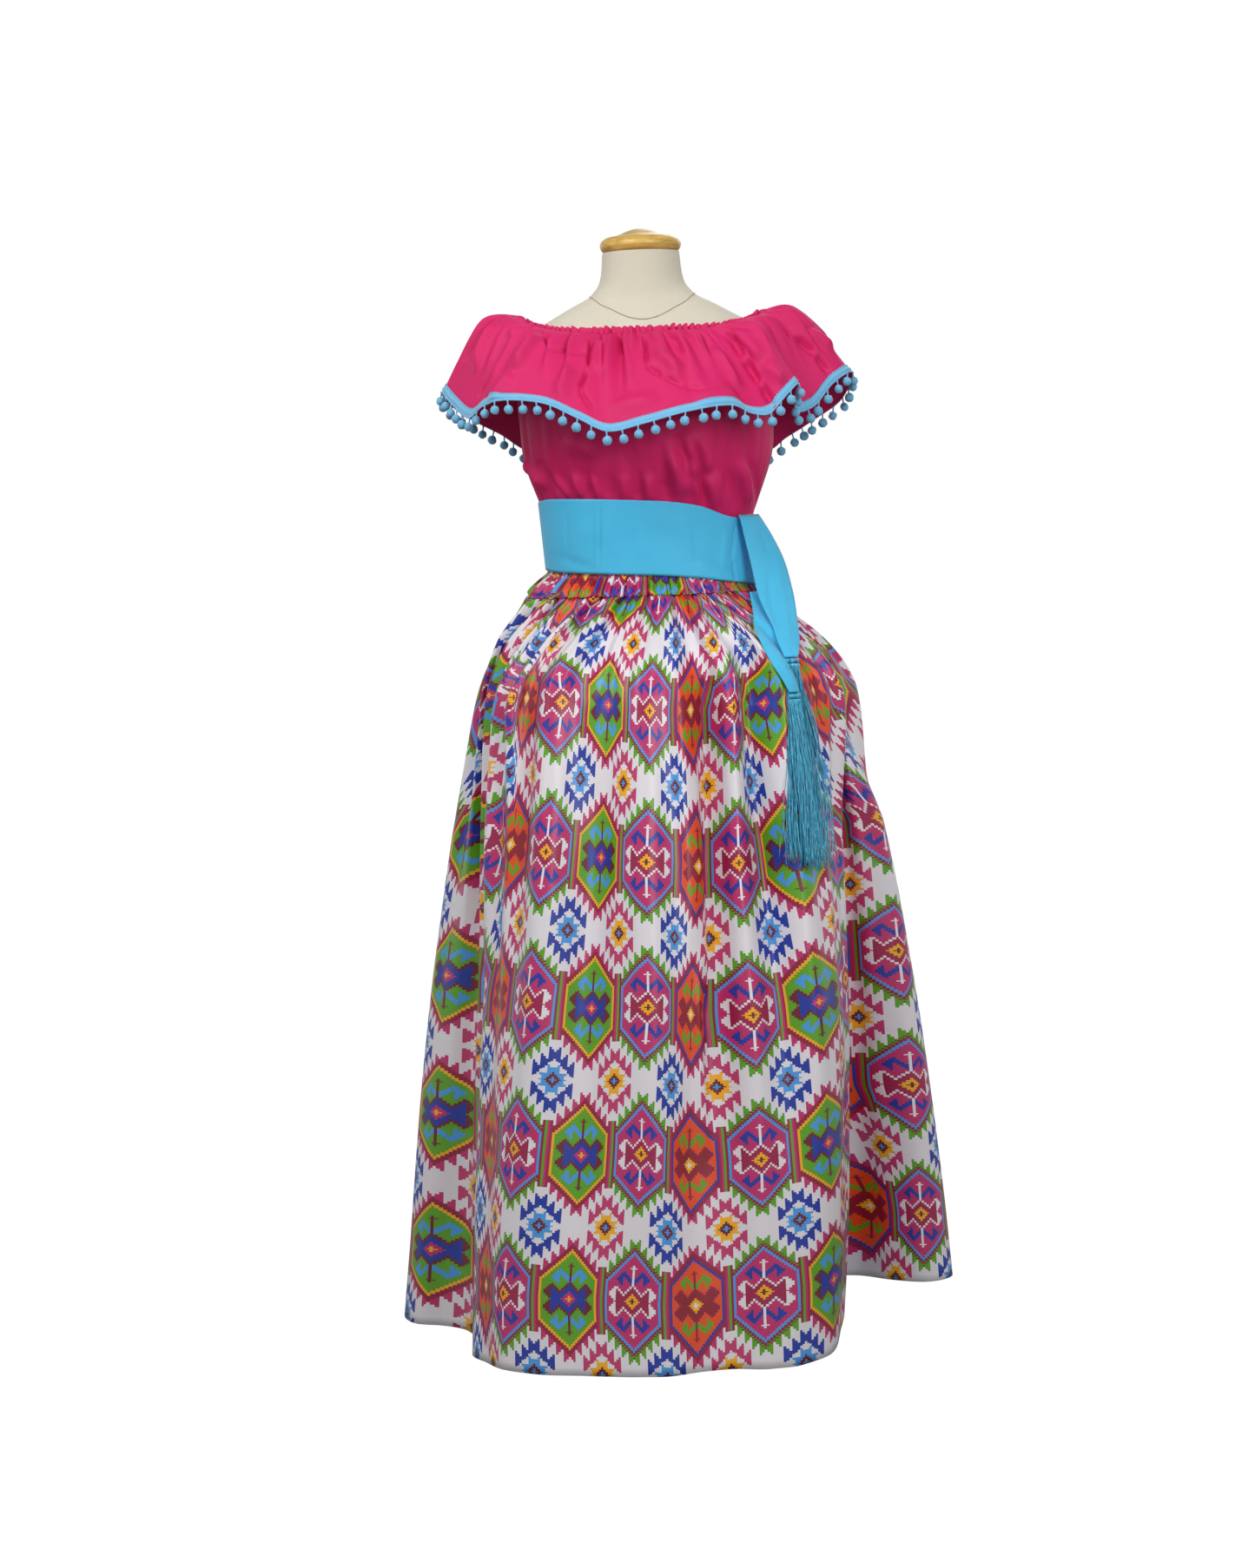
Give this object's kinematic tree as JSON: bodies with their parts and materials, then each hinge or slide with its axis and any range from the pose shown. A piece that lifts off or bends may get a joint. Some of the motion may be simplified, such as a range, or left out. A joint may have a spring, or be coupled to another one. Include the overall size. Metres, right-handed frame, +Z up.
{
  "type": "adelita skirt and blouse set on a limbless dress form",
  "caption": "Off-shoulder ruffled blouse with pompom edging, waist sash with knotted fringes and a wide gathered skirt, on a padded dress form with a round stand.",
  "frame": {"origin": "on the floor, at the middle of the base's underside", "axes": "+Z up, -Y to the garment's front, +X to the wearer's left"},
  "size_m": [0.7288, 0.7207, 1.4401],
  "materials": {
    "fuchsia_satin": "crepe satin, soft sheen",
    "blue_braid": "matt braid and pompoms",
    "turquoise_ribbon": "fine cross ribs, low sheen",
    "printed_satin": "silvery satin with a stepped repeat in many colours",
    "linen_cover": "matt plain weave",
    "varnished_wood": "clear varnish",
    "steel": "satin black"
  },
  "bodies": {
    "root": {"blouse_front": "fuchsia_satin", "blouse_back": "fuchsia_satin", "neck_casing": "fuchsia_satin", "ruffle_front": "fuchsia_satin", "ruffle_back": "fuchsia_satin", "pompom_trim": "blue_braid", "sash_band": "turquoise_ribbon", "sash_under": "turquoise_ribbon", "sash_tail_front": "turquoise_ribbon", "sash_tail_back": "turquoise_ribbon", "fringe_front": "turquoise_ribbon", "fringe_back": "turquoise_ribbon", "skirt_casing": "printed_satin", "skirt_front": "printed_satin", "skirt_back": "printed_satin", "dress_form": "linen_cover", "neck_cap": "varnished_wood", "stand_pole": "steel", "stand_base": "steel"}
  },
  "joints": []
}
